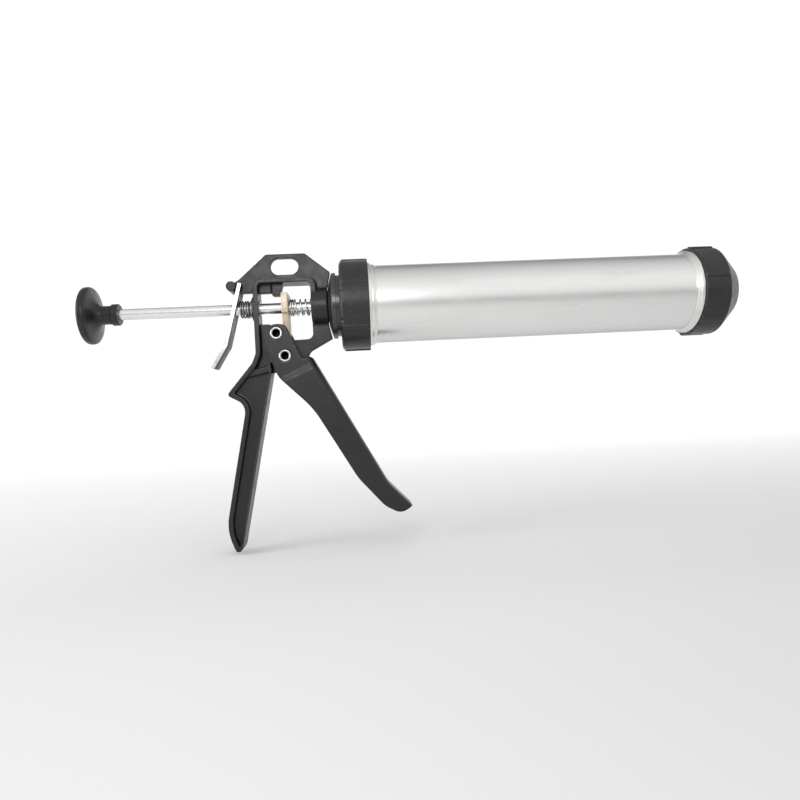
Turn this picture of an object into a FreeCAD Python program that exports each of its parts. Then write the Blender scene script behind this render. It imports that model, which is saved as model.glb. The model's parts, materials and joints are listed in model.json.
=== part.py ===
import FreeCAD, Part
import math
import os
import re
import Sketcher
from FreeCAD import Placement, Rotation, Vector

# Caulking gun with a swivelling aluminium barrel.  All sizes are in millimetres.
#
# The working frame runs along the push rod: +X points from the frame to the nozzle end, +Z is up
# and the handle hangs down.  Its datum, X = 0, is the front face of the swivel flange's disc.
# Every piece is drawn from that datum and then placed so that the origin of the finished model is
# the centre of the nozzle opening, on the outer face of the front cap.

SIZES = {
    # barrel, its thread collars and the two ring nuts
    "barrel_outer_radius": 26.5,
    "barrel_wall": 1.5,
    "barrel_length": 255.0,
    "collar_wall": 2.4,
    "rear_collar_length": 18.5,
    "front_collar_length": 17.7,
    "thread_clearance": 0.06,
    "cap_wall": 1.6,
    "cap_rib_height": 0.9,
    "cap_rib_width": 7.0,
    "rear_cap_length": 19.4,
    "rear_cap_lip": 2.6,
    "front_cap_skirt": 16.0,
    "front_cap_nose": 13.5,
    "front_face_width": 2.96,
    "front_cap_face_wall": 4.0,
    "nozzle_opening_radius": 15.0,
    "seat_ring_thickness": 4.0,
    "seat_ring_bore_radius": 17.5,
    "seat_ring_gap": 0.3,
    # swivel between the frame and the barrel
    "disc_radius": 22.6,
    "disc_thickness": 5.2,
    "disc_rim": 2.6,
    "disc_cap_gap": 2.8,
    "neck_radius": 21.0,
    "flange_spigot_radius": 13.0,
    "seat_plate_thickness": 3.6,
    "lock_nut_flats": 32.0,
    "lock_nut_thickness": 3.0,
    "spigot_radius": 10.0,
    "swivel_clearance": 0.08,
    "swivel_end_gap": 0.4,
    "thrust_washer_thickness": 1.0,
    "thrust_washer_radius": 15.0,
    "retaining_ring_thickness": 1.1,
    "retaining_ring_radius": 11.6,
    "groove_depth": 0.8,
    # push rod, its knob and the piston
    "rod_radius": 3.75,
    "rod_thread_radius": 3.0,
    "rod_back": 166.0,
    "piston_back": 172.0,
    "bush_clearance": 0.08,
    "bush_wall": 2.4,
    "knob_radius": 19.3,
    "knob_neck_radius": 6.6,
    "knob_length": 21.8,
    "knob_cap_radius": 13.0,
    "knob_cap_seat": 2.0,
    "piston_washer_radius": 17.0,
    "piston_washer_thickness": 1.5,
    "piston_seal_clearance": 0.1,
    "piston_seal_base": 3.0,
    "piston_seal_lip": 2.3,
    "piston_seal_depth": 12.0,
    "piston_disc_thickness": 8.0,
    "piston_nut_flats": 10.0,
    "piston_nut_thickness": 5.0,
    # die-cast frame
    "web_thickness": 5.0,
    "rim_width": 18.0,
    "leg_back": 55.7,
    "leg_thickness": 3.3,
    "front_leg_back": 17.0,
    "front_leg_thickness": 3.6,
    "rim_top": 19.0,
    "rim_thickness": 2.7,
    "hub_radius": 12.5,
    "hub_front_gap": 0.6,
    "spring_recess_depth": 8.0,
    "spring_recess_gap": 0.85,
    "frame_top": 36.9,
    "hang_slot_length": 19.0,
    "hang_slot_height": 11.3,
    "hang_slot_back": 34.3,
    "hang_slot_below_top": 8.7,
    "handle_drop": 167.0,
    "handle_front_rim": 1.0,
    "handle_panel": 9.0,
    "handle_band": 14.0,
    "pivot_boss_radius": 7.0,
    "pivot_boss_stand": 0.5,
    # trigger and its two tubular rivets
    "ear_gap": 0.3,
    "trigger_sheet": 2.0,
    "trigger_edge_radius": 4.0,
    "trigger_reach": 105.5,
    "pivot_back": 35.7,
    "pivot_drop": 33.5,
    "pin_back": 40.8,
    "pin_drop": 18.1,
    "rivet_radius": 3.7,
    "rivet_bore_radius": 2.6,
    "rivet_bore_depth": 9.0,
    "rivet_head_radius": 4.2,
    "rivet_head": 1.0,
    "pivot_clearance": 0.08,
    # drive plate and its spring
    "plate_thickness": 4.5,
    "plate_gap": 0.2,
    "plate_half_width": 10.0,
    "plate_top": 9.3,
    "plate_shoulder_drop": 4.2,
    "tongue_half_width": 6.5,
    "tongue_drop": 21.2,
    "plate_bore_clearance": 0.2,
    "drive_spring_rod_gap": 1.0,
    "drive_spring_wire": 1.3,
    "drive_spring_turns": 7.0,
    # release lever and its spring
    "lever_thickness": 2.5,
    "lever_half_width": 8.0,
    "lever_back": 66.1,
    "lever_hook_height": 15.0,
    "lever_slope": 15.0,
    "lever_bend_drop": 24.0,
    "lever_tip_drop": 39.0,
    "lever_tip_slope": 32.0,
    "lever_fork_gap": 0.4,
    "hook_lobe_radius": 3.4,
    "hook_lobe_gap": 0.3,
    "lever_bore_clearance": 0.6,
    "release_spring_rod_gap": 1.15,
    "release_spring_wire": 1.2,
    "release_spring_turns": 3.0,
    "spring_end_gap": 0.1,
}

doc = FreeCAD.newDocument("caulking_gun")
sheet = doc.addObject("Spreadsheet::Sheet", "Sizes")
for row, (size_name, size_value) in enumerate(SIZES.items(), start=1):
    sheet.set("A%d" % row, size_name)
    sheet.set("B%d" % row, str(size_value))
    sheet.setAlias("B%d" % row, size_name)
doc.recompute()

# Places along the rod, as sums of the sizes above.
NECK_FRONT = "(disc_cap_gap + rear_cap_lip)"
TUBE_BACK = "(disc_cap_gap + rear_cap_lip + seat_plate_thickness)"
TUBE_FRONT = "(%s + barrel_length)" % TUBE_BACK
FACE = "(%s + front_cap_nose)" % TUBE_FRONT
BORE_RADIUS = "(barrel_outer_radius - barrel_wall)"
COLLAR_RADIUS = "(barrel_outer_radius + collar_wall)"
CAP_BORE = "(barrel_outer_radius + collar_wall + thread_clearance)"
CAP_RADIUS = "(barrel_outer_radius + collar_wall + thread_clearance + cap_wall)"
CAP_CROWN = "(%s + cap_rib_height)" % CAP_RADIUS
FACE_EDGE = "(nozzle_opening_radius + front_face_width)"
INNER_EDGE = "(nozzle_opening_radius + front_face_width + 1.5)"
OUTER_SLOPE = "((%s - %s) / front_cap_nose)" % (CAP_CROWN, FACE_EDGE)
INNER_SLOPE = "((%s - %s) / (front_cap_nose - front_cap_face_wall))" % (CAP_BORE, INNER_EDGE)
BUSH_BORE = "(rod_radius + bush_clearance)"
BUSH_RADIUS = "(rod_radius + bush_clearance + bush_wall)"
HUB_FRONT = "(-disc_thickness - hub_front_gap)"
SPRING_SEAT = "(-front_leg_back + spring_recess_depth)"
FLANGE_BORE = "(spigot_radius + swivel_clearance)"
THRUST_BACK = "(%s + lock_nut_thickness + swivel_end_gap)" % TUBE_BACK
RING_BACK = "(%s + thrust_washer_thickness + thread_clearance)" % THRUST_BACK
SPIGOT_FRONT = "(%s + retaining_ring_thickness + 1.2)" % RING_BACK
PLATE_BACK = "(-pin_back + rivet_radius + plate_gap)"
DISC_BACK = "(-disc_thickness)"
BOSS_WIDTH = "(rim_width + 2 * pivot_boss_stand)"
TRIGGER_WIDTH = "(rim_width + 2 * (pivot_boss_stand + ear_gap + trigger_sheet))"
DRIVE_SPRING_RADIUS = "(rod_radius + drive_spring_rod_gap + drive_spring_wire / 2)"
RELEASE_SPRING_RADIUS = "(rod_radius + release_spring_rod_gap + release_spring_wire / 2)"
SPRING_RECESS = "(rod_radius + drive_spring_rod_gap + drive_spring_wire + spring_recess_gap)"

# One edge of a spring's path covers this many turns, so that each face of the wire stays simple.
TURNS_PER_EDGE = 0.5

final_pieces = []


def full(expression):
    """The same expression with every size name pointed at the sheet."""
    return re.sub(r"[a-z][a-z_]+", lambda word: "Sizes." + word.group(), expression)


def value(expression):
    """The number that an expression of size names gives."""
    return float(sheet.evalExpression(full(expression)))


def bind(thing, prop, expression):
    """Ties one property of an object to the sheet."""
    thing.setExpression(prop, full(expression))


def place(piece, label, start="0", height="0"):
    """Names a finished piece and puts it in the model's own frame."""
    piece.Label = label
    bind(piece, "Placement.Base.x", "%s - %s" % (start, FACE))
    bind(piece, "Placement.Base.z", height)
    final_pieces.append(piece)
    return piece


def new_body(label, start="0", height="0"):
    """An empty body with its name and its place."""
    return place(doc.addObject("PartDesign::Body", label), label, start, height)


def origin_plane(body, role):
    """One of a body's own origin planes."""
    return [item for item in body.Origin.OriginFeatures if item.Role == role][0]


def new_sketch(body, role):
    """An empty sketch on one of the body's origin planes."""
    sketch = body.newObject("Sketcher::SketchObject", "Sketch")
    sketch.AttachmentSupport = [(origin_plane(body, role), "")]
    sketch.MapMode = "FlatFace"
    return sketch


def bound_polygon(body, role, points):
    """A sketch of straight lines whose every corner is tied to the sheet."""
    sketch = new_sketch(body, role)
    corners = [Vector(value(across), value(up), 0) for across, up in points]
    count = len(corners)
    for index in range(count):
        sketch.addGeometry(Part.LineSegment(corners[index], corners[(index + 1) % count]))
    for index in range(count):
        sketch.addConstraint(Sketcher.Constraint("Coincident", index, 2, (index + 1) % count, 1))
    for index, (across, up) in enumerate(points):
        spot = corners[index]
        for kind, text, number in (("DistanceX", across, spot.x), ("DistanceY", up, spot.y)):
            place_in_list = sketch.addConstraint(Sketcher.Constraint(kind, -1, 1, index, 1, number))
            bind(sketch, "Constraints[%d]" % place_in_list, text)
    return sketch


def revolve(body, points, kind="PartDesign::Revolution"):
    """Turns a closed outline of (x, radius) points about the rod's axis."""
    sketch = bound_polygon(body, "XZ_Plane", points)
    feature = body.newObject(kind, "Turn")
    feature.Profile = sketch
    feature.ReferenceAxis = (sketch, ["H_Axis"])
    feature.Angle = 360
    doc.recompute()
    return feature


def turned(label, start, points):
    """A piece turned about the rod's axis, drawn from its own back face."""
    body = new_body(label, start)
    revolve(body, points)
    return body


def ring(label, start, length, inner, outer):
    """A plain turned ring."""
    return turned(label, start, [("0", inner), (length, inner), (length, outer), ("0", outer)])


def round_edges(body, radius, wanted):
    """Fillets the edges of a body's tip that the test picks."""
    base = body.Tip
    names = ["Edge%d" % (index + 1) for index, edge in enumerate(base.Shape.Edges) if wanted(edge)]
    fillet = body.newObject("PartDesign::Fillet", "Round")
    fillet.Base = (base, names)
    bind(fillet, "Radius", radius)
    doc.recompute()
    return fillet


def at_circle(*rings):
    """A test for the round edges at the given (x, radius) places."""
    spots = [(value(along), value(radius)) for along, radius in rings]

    def wanted(edge):
        if not isinstance(edge.Curve, Part.Circle):
            return False
        found = (edge.Curve.Center.x, edge.Curve.Radius)
        return any(abs(found[0] - x) < 0.01 and abs(found[1] - r) < 0.01 for x, r in spots)

    return wanted


def inset(corners, gap):
    """The corner list of an outline moved inward by a gap.  Corners run clockwise."""
    count = len(corners)
    moved = []
    for index, (x, z, radius) in enumerate(corners):
        before = corners[index - 1]
        after = corners[(index + 1) % count]
        first = Vector(x - before[0], z - before[1], 0).normalize()
        second = Vector(after[0] - x, after[1] - z, 0).normalize()
        inward = Vector(first.y + second.y, -first.x - second.x, 0)
        scale = gap / (1 + first.dot(second))
        turn = first.x * second.y - first.y * second.x
        new_radius = max(radius - gap, 0.5) if turn < 0 else radius + gap
        moved.append((x + inward.x * scale, z + inward.y * scale, new_radius))
    return moved


def outline(body, corners, role="XZ_Plane"):
    """A sketch of straight sides joined by round corners, from (x, z, radius) corners."""
    sketch = new_sketch(body, role)
    count = len(corners)
    joints = []
    for index, (x, z, radius) in enumerate(corners):
        corner = Vector(x, z, 0)
        to_before = (Vector(*corners[index - 1][:2], 0) - corner).normalize()
        to_after = (Vector(*corners[(index + 1) % count][:2], 0) - corner).normalize()
        half = to_before.getAngle(to_after) / 2
        if radius < 0.01 or half > 1.56:
            joints.append((corner, None, corner))
            continue
        reach = radius / math.tan(half)
        bisector = (to_before + to_after).normalize()
        middle = corner + bisector * (radius / math.sin(half) - radius)
        joints.append((corner + to_before * reach, middle, corner + to_after * reach))
    for index, (start, middle, end) in enumerate(joints):
        if middle is not None:
            sketch.addGeometry(Part.Arc(start, middle, end))
        following = joints[(index + 1) % count][0]
        if end.distanceToPoint(following) > 0.001:
            sketch.addGeometry(Part.LineSegment(end, following))
    return sketch


def pad(body, corners, width):
    """Adds an outline to a body, spread evenly to both sides of the middle plane."""
    feature = body.newObject("PartDesign::Pad", "Pad")
    feature.Profile = outline(body, corners)
    feature.SideType = "Symmetric"
    bind(feature, "Length", width)
    doc.recompute()
    return feature


def cut_through(body, corners, width, role="XZ_Plane"):
    """Cuts an outline from a body, spread evenly to both sides of the sketch plane."""
    before = body.Tip.Shape.Volume
    feature = body.newObject("PartDesign::Pocket", "Cut")
    feature.Profile = outline(body, corners, role)
    feature.SideType = "Symmetric"
    bind(feature, "Length", width)
    doc.recompute()
    assert body.Tip.Shape.Volume < before - 0.1, "a cut in %s removed nothing" % body.Label
    return feature


def cut_sides(body, corners, floor, width):
    """Cuts an outline into both faces of a body and leaves a floor of the given thickness."""
    for sign in (1, -1):
        before = body.Tip.Shape.Volume
        sketch = outline(body, corners)
        bind(sketch, "AttachmentOffset.Base.z", "%d * (%s) / 2" % (sign, width))
        feature = body.newObject("PartDesign::Pocket", "Recess")
        feature.Profile = sketch
        feature.Reversed = sign < 0
        bind(feature, "Length", "((%s) - (%s)) / 2" % (width, floor))
        doc.recompute()
        assert body.Tip.Shape.Volume < before - 0.1, "a recess in %s removed nothing" % body.Label


def round_hole(body, x, z, radius, width):
    """Bores a round hole across a body, at a place in the middle plane."""
    before = body.Tip.Shape.Volume
    sketch = new_sketch(body, "XZ_Plane")
    sketch.addGeometry(Part.Circle(Vector(value(x), value(z), 0), Vector(0, 0, 1), value(radius)))
    place_in_list = sketch.addConstraint(Sketcher.Constraint("Radius", 0, value(radius)))
    bind(sketch, "Constraints[%d]" % place_in_list, radius)
    feature = body.newObject("PartDesign::Pocket", "Bore")
    feature.Profile = sketch
    feature.SideType = "Symmetric"
    bind(feature, "Length", width)
    doc.recompute()
    assert body.Tip.Shape.Volume < before - 0.1, "a bore in %s removed nothing" % body.Label
    return feature


# ---------------------------------------------------------------- barrel


def barrel_tube():
    return ring("barrel_tube", TUBE_BACK, "barrel_length", BORE_RADIUS, "barrel_outer_radius")


def rear_thread_collar():
    points = [("0", "barrel_outer_radius"), ("rear_collar_length", "barrel_outer_radius"),
              ("rear_collar_length", "barrel_outer_radius + 0.4"),
              ("rear_collar_length - 4", COLLAR_RADIUS), ("0", COLLAR_RADIUS)]
    return turned("rear_thread_collar", TUBE_BACK, points)


def front_thread_collar():
    start = "%s - front_collar_length" % TUBE_FRONT
    collar = ring("front_thread_collar", start, "front_collar_length", "barrel_outer_radius", COLLAR_RADIUS)
    round_edges(collar, "seat_ring_gap", at_circle(("0", COLLAR_RADIUS)))
    return collar


def around(radius, angle):
    """A point at a radius and an angle in the plane across the rod."""
    return Vector(radius * math.cos(angle), radius * math.sin(angle), 0)


def add_ribs(body, skirt, first_rib):
    """Six raised ribs around a ring nut, from its back edge; the first is at an angle in degrees."""
    sketch = new_sketch(body, "YZ_Plane")
    half_angle = math.radians(value("cap_rib_width / 2"))
    inner = value("%s - cap_wall / 2" % CAP_RADIUS)
    outer = value(CAP_CROWN)
    turn = math.radians(first_rib)
    corner = [around(size, turn + side * half_angle)
              for size, side in ((inner, -1), (outer, -1), (outer, 1), (inner, 1))]
    crown = around(outer, turn)
    base = around(inner, turn)
    sketch.addGeometry(Part.LineSegment(corner[0], corner[1]))
    sketch.addGeometry(Part.Arc(corner[1], crown, corner[2]))
    sketch.addGeometry(Part.LineSegment(corner[2], corner[3]))
    sketch.addGeometry(Part.Arc(corner[3], base, corner[0]))
    rib = body.newObject("PartDesign::Pad", "Rib")
    rib.Profile = sketch
    bind(rib, "Length", skirt)
    doc.recompute()
    pattern = body.newObject("PartDesign::PolarPattern", "Ribs")
    pattern.Originals = [rib]
    pattern.Axis = (sketch, ["N_Axis"])
    pattern.Angle = 360
    pattern.Occurrences = 6
    body.Tip = pattern
    doc.recompute()


def rear_cap():
    lip_bore = "(neck_radius + 2)"
    points = [("0", lip_bore), ("rear_cap_lip", lip_bore), ("rear_cap_lip", CAP_BORE),
              ("rear_cap_length", CAP_BORE), ("rear_cap_length", CAP_RADIUS),
              ("1.6", CAP_RADIUS), ("0", "%s - 1.6" % CAP_RADIUS)]
    body = turned("rear_cap", "disc_cap_gap", points)
    add_ribs(body, "rear_cap_length", 156)
    bevel = body.newObject("PartDesign::Groove", "Bevel")
    above = "%s + 1" % CAP_CROWN
    bevel.Profile = bound_polygon(body, "XZ_Plane", [("0", "%s - 2.2" % CAP_CROWN), ("2.2", CAP_CROWN),
                                                     ("2.2", above), ("0", above)])
    bevel.ReferenceAxis = (bevel.Profile[0], ["H_Axis"])
    bevel.Angle = 360
    doc.recompute()
    return body


def front_cap():
    """The front ring nut: a ribbed skirt, then a cone that narrows to a flat face round the opening."""
    length = "(front_cap_skirt + front_cap_nose)"
    wall = "(%s - front_cap_face_wall)" % length
    points = [("0", CAP_BORE), ("front_cap_skirt", CAP_BORE), (wall, INNER_EDGE),
              (wall, "nozzle_opening_radius"), (length, "nozzle_opening_radius"), (length, FACE_EDGE),
              ("front_cap_skirt + cap_rib_height / %s" % OUTER_SLOPE, CAP_RADIUS), ("0", CAP_RADIUS)]
    body = turned("front_cap", "%s - front_cap_skirt" % TUBE_FRONT, points)
    add_ribs(body, "front_cap_skirt", 166)
    return body


def nozzle_seat_ring():
    """The ring that the foil pack bears on; its outer edge runs parallel to the cap's inner cone."""
    start = "%s + seat_ring_gap" % TUBE_FRONT
    outer = "(%s - seat_ring_gap * 2.5)" % CAP_BORE
    points = [("0", "seat_ring_bore_radius"), ("seat_ring_thickness", "seat_ring_bore_radius"),
              ("seat_ring_thickness", "%s - seat_ring_thickness * %s" % (outer, INNER_SLOPE)), ("0", outer)]
    return turned("nozzle_seat_ring", start, points)


# ---------------------------------------------------------------- swivel


def swivel_flange():
    neck_front = "(disc_thickness + disc_cap_gap + rear_cap_lip)"
    spigot_front = "(%s + seat_plate_thickness + lock_nut_thickness)" % neck_front
    points = [("0", FLANGE_BORE), (spigot_front, FLANGE_BORE), (spigot_front, "flange_spigot_radius"),
              (neck_front, "flange_spigot_radius"), (neck_front, "neck_radius"),
              ("disc_thickness", "neck_radius"), ("disc_thickness", "disc_radius"),
              ("disc_thickness - disc_rim", "disc_radius"), ("0", "disc_radius - 8.5")]
    body = turned("swivel_flange", DISC_BACK, points)
    round_edges(body, "disc_rim / 4", at_circle(("disc_thickness - disc_rim", "disc_radius")))
    return body


def barrel_seat_plate():
    return ring("barrel_seat_plate", NECK_FRONT, "seat_plate_thickness", "flange_spigot_radius",
                "%s - 0.4" % CAP_BORE)


def hex_nut(label, start, thickness, flats, bore):
    """A six-sided nut across the rod's axis."""
    hexagon = doc.addObject("Part::Prism", "Hexagon")
    hexagon.Polygon = 6
    bind(hexagon, "Circumradius", "%s / 2 / %.6f" % (flats, math.cos(math.pi / 6)))
    bind(hexagon, "Height", thickness)
    hole = doc.addObject("Part::Cylinder", "Hole")
    bind(hole, "Radius", bore)
    bind(hole, "Height", thickness)
    for solid in (hexagon, hole):
        solid.Placement = Placement(Vector(0, 0, 0), Rotation(Vector(0, 1, 0), 90))
    nut = doc.addObject("Part::Cut", label)
    nut.Base = hexagon
    nut.Tool = hole
    return place(nut, label, start)


def seat_lock_nut():
    return hex_nut("seat_lock_nut", TUBE_BACK, "lock_nut_thickness", "lock_nut_flats",
                   "flange_spigot_radius")


def thrust_washer():
    return ring("thrust_washer", THRUST_BACK, "thrust_washer_thickness", "spigot_radius",
                "thrust_washer_radius")


def retaining_ring():
    return ring("retaining_ring", RING_BACK, "retaining_ring_thickness", "spigot_radius - groove_depth",
                "retaining_ring_radius")


# ---------------------------------------------------------------- rod, knob and piston


def push_rod():
    length = "(rod_back + piston_back)"
    stub = ("(piston_washer_thickness * 2 + piston_seal_base + piston_disc_thickness"
            " + piston_nut_thickness + 2.5)")
    end = "%s + %s" % (length, stub)
    points = [("0", "0"), (end, "0"), (end, "rod_thread_radius"), (length, "rod_thread_radius"),
              (length, "rod_radius"), ("0", "rod_radius")]
    return turned("push_rod", "-rod_back", points)


def pull_knob():
    neck = "(knob_length - 10.8)"
    seat = "(knob_cap_seat + 1)"
    points = [("0", "knob_cap_radius"), ("knob_cap_seat", "knob_cap_radius"),
              ("knob_cap_seat", "rod_radius"), ("knob_length", "rod_radius"),
              ("knob_length", "knob_neck_radius + 0.7"), ("knob_length - 4.6", "knob_neck_radius + 0.7"),
              ("knob_length - 4.6", "knob_neck_radius"), (neck, "knob_neck_radius"),
              ("%s - 4.2" % neck, "knob_radius - 3"), ("%s + 2" % seat, "knob_radius"),
              ("1.4", "knob_radius"), ("0", "knob_radius - 2")]
    body = turned("pull_knob", "-rod_back - knob_cap_seat", points)
    rims = at_circle(("%s + 2" % seat, "knob_radius"), ("1.4", "knob_radius"))
    round_edges(body, "knob_cap_seat / 2", rims)
    return body


def knob_end_cap():
    points = [("0", "0"), ("knob_cap_seat + 2", "0"), ("knob_cap_seat + 2", "knob_cap_radius"),
              ("1.6", "knob_cap_radius"), ("0.4", "knob_cap_radius - 5")]
    return turned("knob_end_cap", "-rod_back - knob_cap_seat - 2", points)


def piston_back_washer():
    return ring("piston_back_washer", "piston_back", "piston_washer_thickness", "rod_thread_radius",
                "piston_washer_radius")


def piston_seal():
    outer = "(%s - piston_seal_clearance)" % BORE_RADIUS
    lip = "(%s - piston_seal_lip)" % outer
    points = [("0", "rod_thread_radius"), ("piston_seal_base", "rod_thread_radius"),
              ("piston_seal_base", lip), ("piston_seal_depth", "%s + 1" % lip),
              ("piston_seal_depth", outer), ("1", outer), ("0", "%s - 1" % outer)]
    return turned("piston_seal", "piston_back + piston_washer_thickness", points)


def piston_disc():
    start = "piston_back + piston_washer_thickness + piston_seal_base"
    outer = "(%s - piston_seal_clearance - piston_seal_lip)" % BORE_RADIUS
    return ring("piston_disc", start, "piston_disc_thickness", "rod_thread_radius", outer)


def piston_front_washer():
    start = "piston_back + piston_washer_thickness + piston_seal_base + piston_disc_thickness"
    return ring("piston_front_washer", start, "piston_washer_thickness", "rod_thread_radius",
                "piston_nut_flats * 0.9")


def piston_nut():
    start = "piston_back + piston_washer_thickness * 2 + piston_seal_base + piston_disc_thickness"
    return hex_nut("piston_nut", start, "piston_nut_thickness", "piston_nut_flats", "rod_thread_radius")


# ---------------------------------------------------------------- frame


def frame_web_corners():
    """The flat plate's outer outline, from the rear hook clockwise over the top."""
    top = value("frame_top")
    front = value("%s - 0.2" % HUB_FRONT)
    rim = value("-disc_thickness + disc_rim - 1")
    disc = value("disc_radius")
    hub = value("hub_radius - 0.5")
    leg = value("-leg_back + 0.7")
    hook_x, hook_z = value("-lever_back"), value("lever_hook_height")
    pivot_x, pivot_z = value("-pivot_back"), value("-pivot_drop")
    under = pivot_z - value("pivot_boss_radius") - 4
    return [(hook_x - 3.3, hook_z - 4.2, 1), (hook_x - 3.3, hook_z + 3, 1),
            (hook_x + 0.9, hook_z + 5.6, 1), (leg + 8.4, top, 2.5), (-20.2, top, 2.5),
            (rim, disc + 0.8, 0.5), (rim, disc, 0), (front, hub, 0), (front, -hub, 0),
            (rim, -disc, 0), (pivot_x + 16.8, pivot_z + 2.7, 3),
            (pivot_x + 14.8, pivot_z - 1, 1), (pivot_x + 2.7, under + 3, 2), (pivot_x - 9.3, under, 1),
            (leg - 4, under, 0), (leg - 4, under + 3.5, 0), (leg, pivot_z - 0.5, 0), (leg, hook_z - 4.2, 0)]


def disc_corners(x, z, radius):
    """A square whose corners are rounded so far that it is a disc."""
    low, high = radius - 0.01, radius
    return [(x - high, z - high, low), (x - high, z + high, low), (x + high, z + high, low),
            (x + high, z - high, low)]


def hook_lobe_corners():
    """The round lobe behind the lever's top, which the lever leans against."""
    radius = value("hook_lobe_radius")
    reach = (radius + value("hook_lobe_gap")) / math.cos(math.radians(value("lever_slope")))
    return disc_corners(value("-lever_back") - reach, value("lever_hook_height"), radius)


def window_corners():
    """The window in the web, with the stop lug left standing at its top."""
    top = value("rim_top - rim_thickness")
    back = value("-leg_back + leg_thickness")
    front = value("-front_leg_back")
    lug = value("%s - 0.4" % PLATE_BACK)
    pin = value("-pin_back - rivet_radius - 0.8")
    pocket = value("-pin_drop - rivet_radius - 0.9")
    sill = value("-pin_drop + rivet_radius + 3.6")
    ledge, foot = top - 6.1, top - 8.1
    return [(back, ledge, 0.8), (lug - 6, ledge, 0.8), (lug - 6, foot, 0.4), (lug, foot, 0.4),
            (lug, ledge + 0.4, 0.5), (lug + 1.6, top, 1), (front, top, 3), (front, pocket + 0.7, 4),
            (pin, pocket, 2), (pin, sill, 1.5), (back, sill, 0)]


def rim_corners():
    """The raised rim that runs up the rear leg, over the window and down to the hub."""
    back = value("-leg_back")
    top = value("rim_top")
    front = value("-front_leg_back + front_leg_thickness")
    inner = (value("-leg_back + leg_thickness"), value("rim_top - rim_thickness"), value("-front_leg_back"))
    return [(back, -14, 0), (back, top, 6), (front, top, 5), (front, 8.5, 0.5), (inner[2], 8.5, 0.5),
            (inner[2], inner[1], 3), (inner[0], inner[1], 3), (inner[0], -14, 0)]


def handle_edge():
    """The handle's outer edge: down its front, round the tip and up its back to the rear leg."""
    back = value("-leg_back")
    leg = value("-leg_back + leg_thickness")
    root = value("-pivot_drop")
    tip = value("-handle_drop")
    return [(leg + 6.4, root - 3.4, 0.5), (leg + 7, root - 9.5, 1), (leg - 17.8, tip + 6.2, 4),
            (leg - 21, tip, 2.2), (leg - 28.2, tip + 18, 34), (leg - 11.8, root - 35.3, 9),
            (leg - 14.2, root - 30.1, 7), (leg - 23.8, root - 24.7, 2), (leg - 6, root - 3.9, 9),
            (back, root + 2.5, 6), (back, -13, 0)]


def rim_inside():
    """The inner side of the rim along that edge: as thick as the leg, but thinner down the front."""
    thinner = value("leg_thickness - handle_front_rim")
    edge = handle_edge()
    front = [(x + thinner, z, radius) for x, z, radius in edge[1:3]]
    return inset([edge[0], *front, *edge[3:]], value("leg_thickness"))


def along_side(first, second, z, radius):
    """The corner at height z on the straight side through two others."""
    share = (z - first[1]) / (second[1] - first[1])
    return (first[0] + (second[0] - first[0]) * share, z, radius)


def handle_corners():
    """The full-width handle, from the rear leg's inner face across its root and round its edge."""
    leg = value("-leg_back + leg_thickness")
    root = value("-pivot_drop")
    inside = rim_inside()
    return [(leg, -13, 0), inside[9], inside[8], along_side(inside[8], inside[7], root - 8.4, 0.5),
            (leg + 2.4, root - 6.3, 1), *handle_edge()]


def panel_corners():
    """The sunk panel on each side of the handle, inside its rim."""
    root = value("-pivot_drop")
    inside = rim_inside()
    return [along_side(inside[8], inside[7], root - 13.6, 1),
            along_side(inside[1], inside[2], root - 10, 0.6), *inside[2:8]]


def band_corners():
    """The shallower band across the handle's root, between the web and the panel."""
    leg = value("-leg_back + leg_thickness")
    root = value("-pivot_drop")
    inside = rim_inside()
    return [along_side(inside[8], inside[7], root - 7.8, 0), (leg + 2.4, root - 5.6, 0),
            (leg + 5.3, root - 3, 0), along_side(inside[1], inside[2], root - 10.6, 0),
            along_side(inside[8], inside[7], root - 14.6, 0)]


def slot_corners():
    """The hanging slot's outline, round at both ends."""
    x = value("-hang_slot_back")
    z = value("frame_top - hang_slot_below_top")
    half_long = value("hang_slot_length / 2")
    half_high = value("hang_slot_height / 2")
    end = half_high - 0.01
    return [(x - half_long, z - half_high, end), (x - half_long, z + half_high, end),
            (x + half_long, z + half_high, end), (x + half_long, z - half_high, end)]


def lug_corners():
    """The stop lug for the drive plate, thicker than the web it stands on."""
    front = value("%s - 0.4" % PLATE_BACK)
    top = value("rim_top - rim_thickness")
    return [(front - 6, top - 8.1, 0.4), (front - 6, top + 0.7, 0), (front + 1.8, top + 0.7, 0),
            (front, top - 5.7, 0.5), (front, top - 8.1, 0.4)]


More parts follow.
